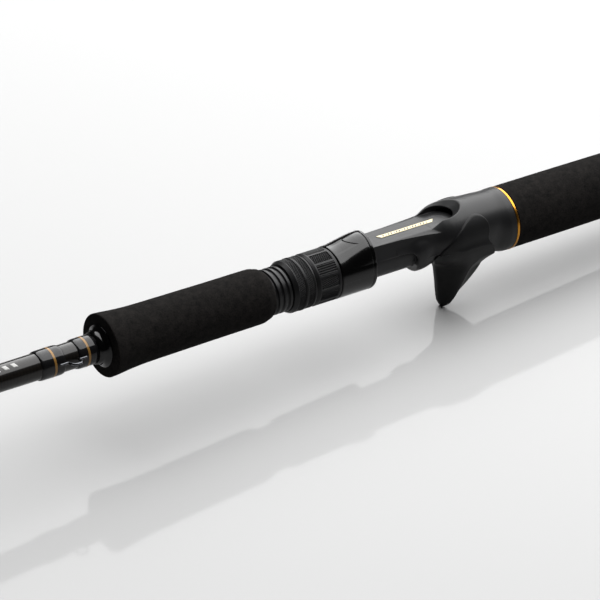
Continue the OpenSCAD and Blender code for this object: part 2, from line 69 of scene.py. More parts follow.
# %% Stations
CAP_LENGTH = 20.0
GRIP_END = 320.0
SEAT = GRIP_END + 1.2
SEAT_LENGTH = 85.5
LIP = SEAT + 27.0
HOOD = SEAT + 72.8
HOOD_LENGTH = 18.2
NUT = HOOD + HOOD_LENGTH + 0.3
NUT_LENGTH = 12.6
LOCK = NUT + NUT_LENGTH + 0.3
LOCK_LENGTH = 11.2
THREAD_END = LOCK + LOCK_LENGTH + 8.8
THREAD_LENGTH = 39.2
THREAD_PITCH = 2.8
GRIP_FRONT = THREAD_END + 82.3
CHECK_END = GRIP_FRONT + 4.8
FOOT_GAP = 3.25
KEEPER = CHECK_END + 9.5 + FOOT_GAP
FRONT_WRAP = KEEPER + FOOT_GAP
HANDLE_END = FRONT_WRAP + 11.8
ROD_LENGTH = 1980.0
DECK_Z = 9.78
FIT = 0.05
print("seat at", SEAT, "mm, handle ends at", round(HANDLE_END, 1), "mm")

# %% Guide stations
# share of the way to the tip, ring size, height of the ring's centre over the blank, feet
GUIDES = [
    (0.085, 16, 13.5, 2),
    (0.258, 12, 10.5, 2),
    (0.419, 10, 8.6, 2),
    (0.549, 8, 6.8, 1),
    (0.660, 7, 6.1, 1),
    (0.759, 7, 6.0, 1),
    (0.848, 6, 5.3, 1),
    (0.928, 6, 5.2, 1),
]
GUIDE_X = [HANDLE_END + (ROD_LENGTH - HANDLE_END) * g[0] for g in GUIDES]
SOCKET_LENGTH = 60
JOINT_X0 = (GUIDE_X[1] + GUIDE_X[2]) / 2 - SOCKET_LENGTH / 2
JOINT_X1 = JOINT_X0 + SOCKET_LENGTH
print("the sections meet between", round(JOINT_X0), "and", round(JOINT_X1), "mm")

# %% [markdown]
# The blank is a tapered carbon tube in two sections. The tip section's socket slips over the
# butt section, so it starts one tube wall fatter than the section that it covers.

# %% Blank radii
BLANK_START = 10
BUTT_D = 14.8
JOINT_D = 8.7
SOCKET_WALL = 0.95
TUBE_WALL = 0.9
TIP_R = 1.1


def butt_r(x):
    return (BUTT_D + (JOINT_D - BUTT_D) * (x - BLANK_START) / (JOINT_X1 - BLANK_START)) / 2


def tip_r(x):
    socket_r = butt_r(JOINT_X0) + SOCKET_WALL
    return socket_r + (TIP_R - socket_r) * (x - JOINT_X0) / (ROD_LENGTH - JOINT_X0)


def blank_r(x):
    return np.where(x < JOINT_X0, butt_r(x), tip_r(x))


def on_blank(x):
    """Bore of a piece that is fitted over the butt section."""
    return butt_r(x) + FIT


print("the blank is", round(2 * float(butt_r(SEAT)), 1), "mm across at the seat")

# %% [markdown]
# ## Small tools
# A profile is drawn through a few points. One helper makes a smooth curve that never overshoots,
# one closes a loop, and one rounds the corners of a straight-sided path.

# %% Curves
def curve_through(points, step=0.05):
    """A smooth curve y(x) through points, which never overshoots them."""
    p = np.array(points, float)
    x, y = p[:, 0], p[:, 1]
    h = np.diff(x)
    d = np.diff(y) / h
    m = np.zeros(len(x))
    m[0], m[-1] = d[0], d[-1]
    for i in range(1, len(x) - 1):
        if d[i - 1] * d[i] > 0:
            w1 = 2 * h[i] + h[i - 1]
            w2 = h[i] + 2 * h[i - 1]
            m[i] = (w1 + w2) / (w1 / d[i - 1] + w2 / d[i])
    xs = np.arange(x[0], x[-1] + step, step)
    k = np.clip(np.searchsorted(x, xs) - 1, 0, len(h) - 1)
    t = (xs - x[k]) / h[k]
    ys = (
        (2 * t**3 - 3 * t**2 + 1) * y[k]
        + (t**3 - 2 * t**2 + t) * h[k] * m[k]
        + (3 * t**2 - 2 * t**3) * y[k + 1]
        + (t**3 - t**2) * h[k] * m[k + 1]
    )
    return lambda q: np.interp(q, xs, ys)


def closed_outline(points, per_span=10):
    """A smooth closed outline through 2-D points."""
    p = np.array(points, float)
    out = []
    for i in range(len(p)):
        a, b, c, d = (p[(i + j - 1) % len(p)] for j in range(4))
        for t in np.arange(per_span) / per_span:
            out.append(
                0.5
                * (2 * b + (c - a) * t + (2 * a - 5 * b + 4 * c - d) * t**2
                   + (3 * b - a - 3 * c + d) * t**3)
            )
    return np.array(out)


def rounded(points, radius, steps=5):
    """A 2-D path with its inner corners rounded. radius is one number or one per point."""
    p = np.array(points, float)
    radii = np.broadcast_to(radius, len(p))
    out = [p[0]]
    for i in range(1, len(p) - 1):
        a, b = p[i - 1] - p[i], p[i + 1] - p[i]
        la, lb = np.linalg.norm(a), np.linalg.norm(b)
        if radii[i] <= 0 or la < 1e-9 or lb < 1e-9:
            out.append(p[i])
            continue
        a, b = a / la, b / lb
        half = math.acos(np.clip(a @ b, -1, 1)) / 2
        if half > 1.5:
            out.append(p[i])
            continue
        cut = min(radii[i] / math.tan(half), 0.49 * la, 0.49 * lb)
        for t in np.linspace(0, 1, steps + 1):
            q0 = p[i] + a * cut * (1 - t)
            q1 = p[i] + b * cut * t
            out.append(q0 * (1 - t) + q1 * t)
    out.append(p[-1])
    return np.array(out)


corner = rounded([[0, 0], [1, 0], [1, 1]], 0.3)
print("a rounded corner takes", len(corner), "points")

# %% [markdown]
# Every piece goes through one function. It builds the mesh, gives it its finish, hangs it on the
# body that it moves with, and hides the plain CAD piece that it stands in for.

# %% Mesh pieces
def piece(
    name, verts, faces, material, body, node=None, normals=None, flat=False, weld=False
):
    """Makes a mesh from millimetre vertices, gives it its finish and hangs it on its body."""
    mesh = bpy.data.meshes.new(name)
    verts = np.asarray(verts, np.float32) * MM
    faces = np.asarray(faces, np.int32)
    sides = faces.shape[1]
    mesh.vertices.add(len(verts))
    mesh.vertices.foreach_set("co", verts.ravel())
    mesh.loops.add(faces.size)
    mesh.loops.foreach_set("vertex_index", faces.ravel())
    mesh.polygons.add(len(faces))
    mesh.polygons.foreach_set("loop_start", np.arange(0, faces.size, sides, dtype=np.int32))
    mesh.update(calc_edges=True)
    mesh.validate()
    mesh.polygons.foreach_set("use_smooth", np.full(len(mesh.polygons), not flat))
    if normals is not None and len(mesh.vertices) == len(normals):
        mesh.normals_split_custom_set_from_vertices(normals.astype(np.float32))
    if weld:
        loose = bmesh.new()
        loose.from_mesh(mesh)
        bmesh.ops.remove_doubles(loose, verts=loose.verts, dist=1e-7)
        loose.to_mesh(mesh)
        loose.free()
    obj = bpy.data.objects.new(name, mesh)
    bpy.context.scene.collection.objects.link(obj)
    mesh.materials.append(material)
    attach(obj, body)
    if node:
        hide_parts(*([node] if isinstance(node, str) else node))
    print(name, len(mesh.vertices), "vertices")
    return obj


# %% [markdown]
# Most of a rod is turned work, so one helper spins a profile round the blank. A shape function
# can push its surface in and out, such as for a knurl or a thread.

# %% Turned work
def spin(profile, turns=160, shape=None, height=0.0):
    """Vertices and quads of a closed [x, r] profile spun round a line along X at that height.
    shape(x, angle, r) may change the radius, such as for a knurl."""
    p = np.array(profile, float)
    if np.allclose(p[0], p[-1]):
        p = p[:-1]
    angle = np.arange(turns) * 2 * math.pi / turns
    x = np.repeat(p[:, :1], turns, axis=1)
    r = np.repeat(p[:, 1:], turns, axis=1)
    a = np.repeat(angle[None, :], len(p), axis=0)
    if shape is not None:
        r = shape(x, a, r)
    verts = np.stack([x, r * np.cos(a), height + r * np.sin(a)], -1).reshape(-1, 3)
    i = np.arange(len(p))[:, None]
    j = np.arange(turns)[None, :]
    i2, j2 = (i + 1) % len(p), (j + 1) % turns
    quads = np.stack(
        [i * turns + j, i * turns + j2, i2 * turns + j2, i2 * turns + j], -1
    ).reshape(-1, 4)
    return verts, quads


def loop_profile(outer, bore):
    """Closes an outer [x, r] path with a straight bore of radius bore(x)."""
    p = np.array(outer, float)
    ends = [[p[-1, 0], float(bore(p[-1, 0]))], [p[0, 0], float(bore(p[0, 0]))]]
    return np.vstack([p, ends])


def turned_piece(name, outer, bore, material, body, node=None, turns=160, shape=None):
    verts, quads = spin(loop_profile(outer, bore), turns, shape)
    return piece(name, verts, quads[:, ::-1], material, body, node)


def pole_piece(name, profile, material, body, node=None, turns=96):
    """A turned piece whose closed profile touches the axis."""
    verts, quads = spin(profile, turns)
    return piece(name, verts, quads[:, ::-1], material, body, node, weld=True)


print("a plain ring has", len(spin([[0, 1], [1, 1], [1, 2]])[0]), "vertices")

# %% [markdown]
# A bent wire keeps a round section along its path. Printed marks are thin patches that lie on a
# turned surface, so they curve with it.

# %% Wire and marks
def wire(name, path, radius, material, body, node=None, sides=20):
    """A round wire along a 3-D path, with rounded-off ends."""
    p = np.array(path, float)
    t = np.gradient(p, axis=0)
    t /= np.linalg.norm(t, axis=1, keepdims=True)
    n = np.cross(t[0], [1.0, 0.3, 0.1])
    rings = []
    length = np.concatenate([[0], np.cumsum(np.linalg.norm(np.diff(p, axis=0), axis=1))])
    for i in range(len(p)):
        n = n - (n @ t[i]) * t[i]
        n /= np.linalg.norm(n)
        b = np.cross(t[i], n)
        to_end = min(length[i], length[-1] - length[i]) / radius
        r = radius * math.sqrt(1 - (1 - min(to_end, 1)) ** 2)
        a = np.arange(sides) * 2 * math.pi / sides
        rings.append(p[i] + r * (np.cos(a)[:, None] * n + np.sin(a)[:, None] * b))
    verts = np.vstack(rings)
    i = np.arange(len(p) - 1)[:, None]
    j = np.arange(sides)[None, :]
    j2 = (j + 1) % sides
    quads = np.stack(
        [i * sides + j, i * sides + j2, (i + 1) * sides + j2, (i + 1) * sides + j], -1
    ).reshape(-1, 4)
    return piece(name, verts, quads, material, body, node, weld=True)


def patch(name, cells, radius, lift, material, body):
    """Thin marks that lie on a turned surface. cells is a list of (x0, x1, a0, a1, slant), with
    angles in radians up from +Y and slant the shift along X from the low edge to the high one."""
    verts, faces = [], []
    nx, na = 5, 5
    for x0, x1, a0, a1, slant in cells:
        base = len(verts)
        for layer in (lift * 0.2, lift):
            for i in range(nx):
                for j in range(na):
                    v = j / (na - 1)
                    x = x0 + (x1 - x0) * i / (nx - 1) + slant * v
                    a = a0 + (a1 - a0) * v
                    r = float(radius(x)) + layer
                    verts.append([x, r * math.cos(a), r * math.sin(a)])
        step = nx * na
        for i in range(nx - 1):
            for j in range(na - 1):
                corner = base + i * na + j
                q = [corner, corner + 1, corner + na + 1, corner + na]
                faces.append([v + step for v in q][::-1])
                faces.append(q)
        rim = [(i, 0) for i in range(nx)] + [(nx - 1, j) for j in range(1, na)]
        rim += [(i, na - 1) for i in range(nx - 2, -1, -1)] + [(0, j) for j in range(na - 2, 0, -1)]
        for k in range(len(rim)):
            a, b = rim[k], rim[(k + 1) % len(rim)]
            ia, ib = base + a[0] * na + a[1], base + b[0] * na + b[1]
            faces.append([ia, ib, ib + step, ia + step])
    return piece(name, verts, faces, material, body, None)


def dense(path, step):
    """The same path with extra points, so that no span is longer than step."""
    p = np.array(path, float)
    out = [p[:1]]
    for a, b in zip(p[:-1], p[1:]):
        n = max(1, int(math.ceil(np.linalg.norm(b - a) / step)))
        t = np.arange(1, n + 1)[:, None] / n
        out.append(a + (b - a) * t)
    return np.vstack(out)


# %% [markdown]
# The seat, the trigger and the hood are moulded shapes that flow into each other. They are
# described as distance fields, which blend without a seam, and each field is then skinned.

# %% Distance fields
def smooth_min(a, b, k):
    h = np.clip(0.5 + 0.5 * (b - a) / k, 0, 1)
    return b + (a - b) * h - k * h * (1 - h)


def smooth_max(a, b, k):
    return -smooth_min(-a, -b, k)


def outline_distance(outline, u, v):
    """Signed distance of (u, v) to a closed 2-D outline, negative inside."""
    p = np.asarray(outline, float)
    q = np.roll(p, -1, axis=0)
    best = np.full(np.broadcast(u, v).shape, 1e9)
    inside = np.zeros(best.shape, bool)
    for (x0, y0), (x1, y1) in zip(p, q):
        ex, ey = x1 - x0, y1 - y0
        wx, wy = u - x0, v - y0
        t = np.clip((wx * ex + wy * ey) / (ex * ex + ey * ey + 1e-12), 0, 1)
        best = np.minimum(best, (wx - ex * t) ** 2 + (wy - ey * t) ** 2)
        crosses = ((y0 <= v) != (y1 <= v)) & (
            (ex * (v - y0) / (ey if ey else 1e-12) + x0) > u
        )
        inside ^= crosses
    return np.where(inside, -1.0, 1.0) * np.sqrt(best)


def turned_distance(x, y, z, radius, x0, x1, centre_z=0.0):
    """Distance to a solid of revolution about a line along X at height centre_z."""
    r = np.sqrt(y * y + (z - centre_z) ** 2)
    slope = (radius(x + 0.05) - radius(x - 0.05)) / 0.1
    side = (r - radius(x)) / np.sqrt(1 + np.minimum(slope * slope, 4.0))
    return np.maximum(side, np.maximum(x0 - x, x - x1))


print("two walls that meet with a blend of 1 mm gain", 1 - float(smooth_min(1.0, 1.0, 1.0)), "mm")

# %% [markdown]
# The skin is drawn by a volume tool on a grid, so its points start a little off the surface.
# Each point is moved onto it, and takes its normal from the field, which keeps the shine even.

# %% Skinning
def skin(name, field, low, high, step, material, body, node=None):
    """Skins the zero surface of field(x, y, z), with normals taken from the field itself."""
    low = np.array(low, float)
    n = np.ceil((np.array(high) - low) / step).astype(int) + 1
    axes = [(low[i] + step * np.arange(n[i])).astype(np.float32) for i in range(3)]
    x, y, z = axes[0][:, None, None], axes[1][None, :, None], axes[2][None, None, :]
    values = np.ascontiguousarray(np.broadcast_to(field(x, y, z), tuple(n)).astype(np.float32))
    grid = openvdb.FloatGrid(99.0)
    grid.copyFromArray(values)
    points, quads = grid.convertToQuads(0.0)
    points = low + points.astype(float) * step

    def gradient(p, e=0.04):
        g = np.empty_like(p)
        for i in range(3):
            d = np.zeros(3)
            d[i] = e
            a = field(*(p + d).T)
            b = field(*(p - d).T)
            g[:, i] = (a - b) / (2 * e)
        return g

    for _ in range(2):
        g = gradient(points)
        size = np.maximum((g * g).sum(1), 0.25)
        move = -(field(*points.T) / size)[:, None] * g
        length = np.linalg.norm(move, axis=1, keepdims=True)
        points += move * np.minimum(1, 0.4 * step / np.maximum(length, 1e-9))
    normals = gradient(points)
    normals /= np.maximum(np.linalg.norm(normals, axis=1, keepdims=True), 1e-9)
    return piece(name, points, quads, material, body, node, normals=normals)


# %% [markdown]
# ## Finishes
# Each finish is named for its material. Patterns are scaled from sizes in millimetres on the
# real thing: the cells of the foam, the grain of the mould, the thread under the varnish.

# %% Material tools
def srgb(code):
    """Linear colour from an sRGB hex code."""
    c = np.array([int(code[i : i + 2], 16) for i in (0, 2, 4)]) / 255
    lin = np.where(c <= 0.04045, c / 12.92, ((c + 0.055) / 1.055) ** 2.4)
    return (*[float(v) for v in lin], 1.0)


def add(tree, kind, inputs, **settings):
    """Adds a node with its settings. Each input takes a value or another node's socket."""
    node = tree.nodes.new(kind)
    for key, value in settings.items():
        setattr(node, key, value)
    for key, value in inputs.items():
        if isinstance(value, bpy.types.NodeSocket):
            tree.links.new(value, node.inputs[key])
        else:
            node.inputs[key].default_value = value
    return node


def new_material(name, **shader):
    m = bpy.data.materials.new(name)
    m.use_nodes = True
    tree = m.node_tree
    b = tree.nodes["Principled BSDF"]
    for key, value in shader.items():
        b.inputs[key.replace("_", " ")].default_value = value
    where = add(tree, "ShaderNodeTexCoord", {}).outputs["Object"]
    print("finish", name)
    return m, tree, b, where


def grain(tree, where, size_mm, detail=2.0, roughness=0.5, stretch=(1, 1, 1)):
    """Noise whose cells are about size_mm across."""
    moved = add(tree, "ShaderNodeMapping", {"Vector": where, "Scale": stretch})
    settings = {"Scale": 1000.0 / size_mm, "Detail": detail, "Roughness": roughness}
    noise = add(tree, "ShaderNodeTexNoise", {"Vector": moved.outputs["Vector"], **settings})
    return noise.outputs["Fac"]


def shade(tree, fac, low, high, dark, light):
    """Goes from the dark colour to the light one as fac goes from low to high."""
    share = add(tree, "ShaderNodeMapRange", {"Value": fac, "From Min": low, "From Max": high})
    mix = add(tree, "ShaderNodeMix", {0: share.outputs["Result"], 6: dark, 7: light}, data_type="RGBA")
    return mix.outputs[2]


print("mid grey is", round(srgb("808080")[0], 3), "in linear light")

# %% [markdown]
# The grips are closed-cell foam, ground round and left with an open, dusty surface. Two sizes
# of noise stand for the cells and for the slow mottling between blocks of foam. There is hardly
# any shine, because every cut cell points another way.

# %% Foam
foam, tree, shader, where = new_material(
    "closed_cell_foam", Roughness=0.95, Specular_IOR_Level=0.06, IOR=1.45
)
cells = add(tree, "ShaderNodeMath", {0: grain(tree, where, 0.55, 3.0, 0.6), 1: 0.55}, operation="MULTIPLY")
mottle = add(tree, "ShaderNodeMath", {0: grain(tree, where, 3.0, 3.0, 0.6), 1: 0.45}, operation="MULTIPLY")
both = add(tree, "ShaderNodeMath", {0: cells.outputs[0], 1: mottle.outputs[0]}, operation="ADD").outputs[0]
tree.links.new(shade(tree, both, 0.35, 0.65, srgb("090909"), srgb("1d1b1a")), shader.inputs["Base Color"])
pits = add(tree, "ShaderNodeBump", {"Height": both, "Distance": 0.3 * MM, "Strength": 0.7})
tree.links.new(pits.outputs["Normal"], shader.inputs["Normal"])

# %% [markdown]
# The seat is glass-filled nylon under a soft-touch coat, so it has a fine even grain and a
# broad, weak shine. The trigger is moulded over it in a blacker, rubbery plastic, and the nuts
# are bare nylon. All of them leave the mould with the same kind of grain, so they share a
# function, and so do the rubber of the butt cap and the graphite of the hidden bushes.

# %% Moulded finishes
def moulded(name, grain_mm, depth_mm, strength, **shader):
    """One colour with the fine grain that the mould leaves, which breaks up its shine."""
    m, tree, b, where = new_material(name, **shader)
    height = grain(tree, where, grain_mm)
    relief = add(tree, "ShaderNodeBump", {"Height": height, "Distance": depth_mm * MM, "Strength": strength})
    tree.links.new(relief.outputs["Normal"], b.inputs["Normal"])
    return m


seat_plastic = moulded(
    "soft_touch_nylon", 0.16, 0.012, 0.5,
    Base_Color=srgb("151516"), Roughness=0.38, Specular_IOR_Level=0.28, IOR=1.45,
)
trigger_plastic = moulded(
    "overmoulded_rubber", 0.16, 0.012, 0.5,
    Base_Color=srgb("0d0d0e"), Roughness=0.46, Specular_IOR_Level=0.18, IOR=1.45,
)
nut_plastic = moulded(
    "moulded_nylon", 0.14, 0.01, 0.4,
    Base_Color=srgb("111112"), Roughness=0.42, Specular_IOR_Level=0.22, IOR=1.45,
)
cap_rubber = moulded("butt_rubber", 0.3, 0.02, 0.5, Base_Color=srgb("161616"), Roughness=0.7, IOR=1.5)
arbor_foam = moulded("graphite_arbor", 0.4, 0.03, 0.5, Base_Color=srgb("5b5f57"), Roughness=0.8)

# %% [markdown]
# The hood and the winding check are polished black plastic. Its colour hardly shows: the eye
# sees the lamp above, mirrored in a thin gloss, and black at the sides.

# %% Polished plastic
gloss_plastic, tree, shader, where = new_material(
    "polished_black_plastic", Base_Color=srgb("040404"), Roughness=0.16, Specular_IOR_Level=0.3, IOR=1.45
)
shader.inputs["Coat Weight"].default_value = 0.12
shader.inputs["Coat Roughness"].default_value = 0.03

# %% [markdown]
# The metals are plated and polished, so they are smooth and take their look from the room. The
# inlay is a pale foil under clear plastic, half metal to the eye. The guide rings are a hard
# polished ceramic, with a high IOR and a sharp highlight. Both inks are thin and satin.

# %% Metals and trim
gold, *_ = new_material("polished_gold", Base_Color=srgb("b07a2c"), Metallic=1.0, Roughness=0.25)
inlay_plastic, *_ = new_material(
    "pale_gold_foil", Base_Color=srgb("b5a988"), Roughness=0.4, Metallic=0.3
)
gunmetal, *_ = new_material(
    "gunmetal_plated_steel", Base_Color=srgb("4a4b4e"), Metallic=1.0, Roughness=0.22
)
ceramic, *_ = new_material("polished_ceramic", Base_Color=srgb("50555c"), Roughness=0.08, IOR=1.77)
mark_ink, *_ = new_material("silver_screen_ink", Base_Color=srgb("9a9a98"), Roughness=0.45, IOR=1.5)
dark_ink, *_ = new_material("black_screen_ink", Base_Color=srgb("26231c"), Roughness=0.5, IOR=1.5)

# %% [markdown]
# Thread wraps are nylon wound at five turns to the millimetre and flooded with clear varnish.
# The winding shows only faintly: the varnish on top is what shines, in slow waves where it ran.

# %% Varnished thread
TURNS_PER_MM = 5.0


def thread_material(name, colour, metallic=0.0):
    m, tree, b, where = new_material(
        name, Base_Color=srgb(colour), Metallic=metallic, Roughness=0.5, Specular_IOR_Level=0.05, IOR=1.4
    )
    along = add(tree, "ShaderNodeSeparateXYZ", {"Vector": where}).outputs["X"]
    angle = {0: along, 1: 2 * math.pi * TURNS_PER_MM / MM}
    phase = add(tree, "ShaderNodeMath", angle, operation="MULTIPLY")
    turns = add(tree, "ShaderNodeMath", {0: phase.outputs[0]}, operation="SINE")
    relief = {"Height": turns.outputs[0], "Distance": 0.02 * MM, "Strength": 0.5}
    tree.links.new(add(tree, "ShaderNodeBump", relief).outputs["Normal"], b.inputs["Normal"])
    b.inputs["Coat Weight"].default_value = 0.85
    b.inputs["Coat Roughness"].default_value = 0.04
    b.inputs["Coat IOR"].default_value = 1.35
    wavy = add(tree, "ShaderNodeBump", {"Height": grain(tree, where, 5.0, 1.0), "Distance": 0.06 * MM})
    tree.links.new(wavy.outputs["Normal"], b.inputs["Coat Normal"])
    return m


black_thread = thread_material("varnished_black_thread", "0b0b0c")
gold_thread = thread_material("varnished_gold_thread", "7c5c2e", 0.3)

# %% [markdown]
# The blank is carbon cloth rolled on a mandrel, sanded and clear coated. A fine spiral from
# the shrink tape stays faintly visible under the lacquer, and the fibres run along the rod.

# %% Carbon blank
TAPE_PITCH = 1.6
carbon, tree, shader, where = new_material(
    "lacquered_carbon", Base_Color=srgb("0d0c0b"), Roughness=0.35, Specular_IOR_Level=0.1, IOR=1.4
)
xyz = add(tree, "ShaderNodeSeparateXYZ", {"Vector": where}).outputs
turn = add(tree, "ShaderNodeMath", {0: xyz["Z"], 1: xyz["Y"]}, operation="ARCTAN2")
lead = {0: xyz["X"], 1: 2 * math.pi / (TAPE_PITCH * MM), 2: turn.outputs[0]}
phase = add(tree, "ShaderNodeMath", lead, operation="MULTIPLY_ADD")
spiral = add(tree, "ShaderNodeMath", {0: phase.outputs[0]}, operation="SINE")
fibres = grain(tree, where, 0.5, 2.0, 0.5, stretch=(0.05, 1, 1))
weave = {0: spiral.outputs[0], 1: 0.1, 2: fibres}
both = add(tree, "ShaderNodeMath", weave, operation="MULTIPLY_ADD").outputs[0]
tree.links.new(shade(tree, both, 0.3, 0.75, srgb("070605"), srgb("15120f")), shader.inputs["Base Color"])
shader.inputs["Coat Weight"].default_value = 0.85
shader.inputs["Coat Roughness"].default_value = 0.05
shader.inputs["Coat IOR"].default_value = 1.33

# %% [markdown]
# ## Rear grip and its gold ring
# The rear grip is one long foam cylinder, as thick as the collar of the seat. A thin anodised
# ring covers the joint, and stands a hair proud of both.

# %% Rear grip
grip_shape = curve_through(
    [(0, 15.5), (25, 15.45), (55, 14.9), (95, 13.9), (150, 13.35), (210, 13.5), (270, 13.9), (300, 14.0)]
)
low, high = CAP_LENGTH + FIT, GRIP_END - 0.1
outer = [[low, 14.7]] + [[x, float(grip_shape(x - CAP_LENGTH))] for x in np.linspace(low, high, 160)[1:-1]]
outer += [[high, 13.55]]
outer[1][0] = CAP_LENGTH + 0.6
outer[-2] = [GRIP_END - 0.6, 13.98]
turned_piece("rear_grip", rounded(outer, 0.4), on_blank, foam, "handle", "rear_grip")

# %% Gold ring
low, high = GRIP_END, SEAT - FIT
outer = rounded([[low, 13.0], [low, 14.12], [high, 14.12], [high, 13.0]], 0.22, 4)
turned_piece("rear_gold_ring", outer, on_blank, gold, "handle", "rear_gold_ring", 240)

# %% [markdown]
# ## Reel seat
# The seat is one moulding. A collar, as thick as the grip, narrows underneath into a groove
# for the middle finger. Its back rises to a crest behind the pocket for the reel's foot. In
# front the deck runs out flat over a slim round waist. Three curves hold its sizes: the radius
# of the lower half, that of the upper half, and half the width of the deck.

# %% Seat curves
low_shape = curve_through(
    [(-2, 14), (0, 14), (2.5, 13.95), (5, 13.4), (8, 12.3), (12, 11.1), (16, 10.4), (22, 10.2), (34, 9.8),
     (38, 9.4), (41, 9.8), (44, 10.5), (46.5, 10.75), (49, 10.6), (51, 10.1), (53, 9.2), (56, 8.0),
     (60, 7.5), (90, 6.0)]
)
high_shape = curve_through(
    [(-2, 12), (0, 12), (6, 12.3), (12, 12.7), (18, 13.05), (24, 13.4), (29, 13.5), (32, 13.2), (35, 12.35),
     (38, 11.1), (40.5, 10.15), (43.5, 9.4), (47, 8.95), (51, 8.6), (56, 8.2), (64, 7.7), (72, 7.2), (90, 6.0)]
)
deck_half = curve_through(
    [(30, 8.9), (36, 8.7), (40, 8.3), (42.5, 7.9), (51, 6.95), (58, 6.35), (67.6, 5.95), (72, 5.8), (90, 5.75)]
)
HIGH_CENTRE = 2.0
DECK_START = 33
WAIST_R = 8.15
SEAT_BORE_R = 6.75
SOCKET_R = 3.65
print("the deck is", round(2 * float(deck_half(72)), 1), "mm wide at the hood")

# %% [markdown]
# The body is the two turned halves and the wedge under the deck, blended. The slim waist comes
# out of it, and the deck, the pocket, the room under its lip and the bore are cut away.

# %% Seat body
def wedge_field(x, y, z):
    """The flanks under the deck: they lean out a little, and stop above the round waist."""
    flank = (np.abs(y) - deck_half(x)) * 0.97 + (z - DECK_Z) * 0.245
    top = (z - DECK_Z + 0.4 * np.maximum(np.abs(y) - 5.6, 0)) * 0.95
    ends = np.maximum(np.maximum(DECK_START - x, x - (SEAT_LENGTH - 0.5)), -1.0 - z)
    return np.maximum(np.maximum(flank, top), ends)


def slot_field(x, y, half, end):
    """A strip along X with a half-round end, open towards the tip."""
    along = np.maximum(end + half - x, 0)
    return np.sqrt(along * along + y * y) - half


def body_field(s, y, z):
    """The outer form of the moulding, before anything is cut from it. s counts from its rear end."""
    low = turned_distance(s, y, z, low_shape, 0.0, 90.0)
    high = turned_distance(s, y, z, high_shape, 0.0, 60.0, HIGH_CENTRE)
    return smooth_min(smooth_min(low, high, 1.2), wedge_field(s, y, z), 0.5)


def seat_field(x, y, z):
    s = x - SEAT
    d = body_field(s, y, z)
    # the lower half stops in a round-ended socket, where the slim waist comes out of the body
    lower = s + 0.3 * np.maximum(-4.0 - z, 0)
    socket = np.sqrt(np.maximum(53.9 - lower, 0) ** 2 + np.maximum(z + 0.95, 0) ** 2) - SOCKET_R
    d = smooth_max(d, -socket, 0.5)
    waist = np.maximum(np.sqrt(y * y + z * z) - WAIST_R, 40 - s)
    d = smooth_min(d, waist, 0.25)
    # the pocket's rim is bevelled, and the reel's foot has room over the deck
    above_deck = DECK_Z - z
    rim = (0.72 * slot_field(s, y, 8.8, 24.3) - (z - 14.4)) * 0.81
    d = smooth_max(d, -np.maximum(rim, above_deck), 0.35)
    over_deck = smooth_max(slot_field(s, y, 6.1, 27.0), above_deck, 0.3)
    d = smooth_max(d, -over_deck, 0.3)
    d = smooth_max(d, -np.maximum(above_deck, 41.0 - s), 0.3)
    # the pocket runs on under its lip
    dome = np.sqrt(y * y + (z - 2.0) ** 2) - 10.2
    under_lip = np.maximum(slot_field(s, y, 5.9, 19.2), np.maximum(above_deck, dome))
    d = smooth_max(d, -np.maximum(under_lip, s - DECK_START), 0.3)
    bore = np.sqrt(y * y + z * z) - SEAT_BORE_R
    d = np.maximum(d, -bore)
    return np.maximum(d, np.maximum(FIT - s, s - SEAT_LENGTH))


low, high = (SEAT - 0.4, -15.2, -15.2), (SEAT + SEAT_LENGTH + 0.5, 15.2, 16.4)
skin("seat_body", seat_field, low, high, 0.24, seat_plastic, "handle", "seat_body")

# %% [markdown]
# The front of the same moulding is a round barrel with the nuts' thread on it. Its ridges are
# rounded, as on any plastic thread that has to come out of a mould.

# %% Threaded barrel
def thread_shape(x, a, r):
    turns = (x - (THREAD_END - 40)) / THREAD_PITCH - a / (2 * math.pi)
    wave = 0.5 - 0.5 * np.cos(2 * math.pi * turns)
    ridge = np.clip((wave - 0.18) / 0.5, 0, 1)
    ridge = ridge * ridge * (3 - 2 * ridge)
    return np.where(r > 9, 9.25 + 0.86 * ridge, r)


low, high = THREAD_END - THREAD_LENGTH, THREAD_END - FIT
outer = np.vstack([[[low, 7.5]], dense([[low, 10], [high, 10]], 0.14), [[high, 7.5]]])
turned_piece(
    "threaded_barrel", outer, lambda x: 7.33, seat_plastic, "handle", None, 120, thread_shape
)

# %% [markdown]
# The trigger starts as a leaf-shaped shell on both flanks and runs down into a blade for the
# finger. Its front edge is nearly upright, and its back is hollowed and raked. Two outlines
# give its side view, and curves down the blade give its width and the place of the hollow.

# %% Trigger curves
leaf = closed_outline(
    [(41.0, -4.2), (40.2, -2.0), (38.0, 0.6), (35.4, 3.4), (32.2, 6.6), (28.6, 9.4), (24.5, 11.6),
     (20.6, 12.4), (17.0, 11.2), (14.9, 8.4), (14.6, 5.0), (15.2, 1.5), (14.6, -2.8), (12.6, -8.0),
     (18, -12), (30, -12), (38, -8.5)], 8
)
blade = closed_outline(
    [(36.8, -4.5), (35.2, -8.2), (34.3, -11.2), (33.5, -16.0), (32.5, -21.5), (31.6, -27.5), (30.7, -32.2),
     (28.6, -34.9), (26.4, -33.2), (23.6, -30.0), (20.6, -27.2), (17.2, -24.1), (13.9, -20.2), (11.3, -16.0),
     (10.2, -11.0), (11.0, -7.0), (13.5, -2.5), (26.0, -1.5)], 8
)
half_width = curve_through(
    [(-36, 2.6), (-31, 4.6), (-26, 6.2), (-20, 7.9), (-16, 9.1), (-9, 11.4), (-3, 12.9), (0, 13.4)]
)
front_edge = curve_through(
    [(-36, 28.6), (-34.6, 29.4), (-32, 31.1), (-27.5, 32.2), (-21.5, 33.1), (-16, 34.0), (-11, 34.8),
     (-6, 37.5), (0, 42)]
)
